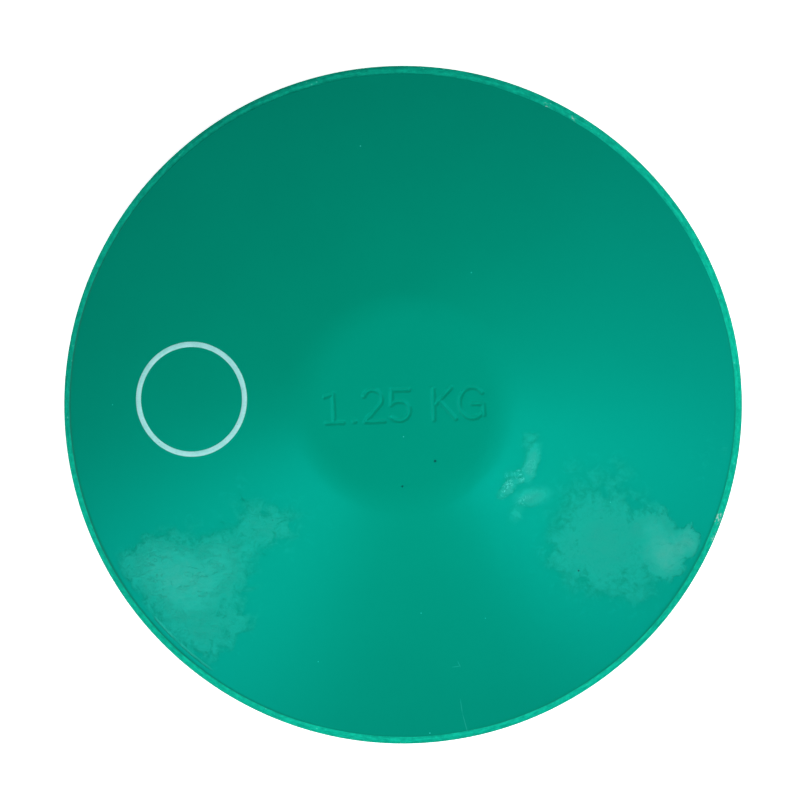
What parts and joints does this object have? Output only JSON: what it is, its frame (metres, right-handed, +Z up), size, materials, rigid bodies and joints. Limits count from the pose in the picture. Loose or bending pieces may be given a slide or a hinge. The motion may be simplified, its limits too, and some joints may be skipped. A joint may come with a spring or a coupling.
{
  "type": "discus",
  "caption": "Moulded rubber practice discus with a flat centre, straight cones, a rounded rim with a ground seam band, and a steel weight plate inside.",
  "frame": {"origin": "centre of the lower flat, on the surface that the discus lies on", "axes": "+Z up along the axis of the discus, out of the face with the sunk weight mark; +X towards the right end of the weight mark, +Y towards the top of its characters"},
  "size_m": [0.191, 0.191, 0.039],
  "materials": {
    "green_rubber": "moulded, semi-gloss, with a waxy bloom and light scuffs",
    "ground_rubber": "ground, matt and rough",
    "weight_steel": "cut and brushed plate",
    "pale_ink": "pad-printed ink film"
  },
  "bodies": {
    "root": {"upper_half": "green_rubber", "lower_half": "green_rubber", "seam_band": "ground_rubber", "weight_plate": "weight_steel"}
  },
  "joints": []
}
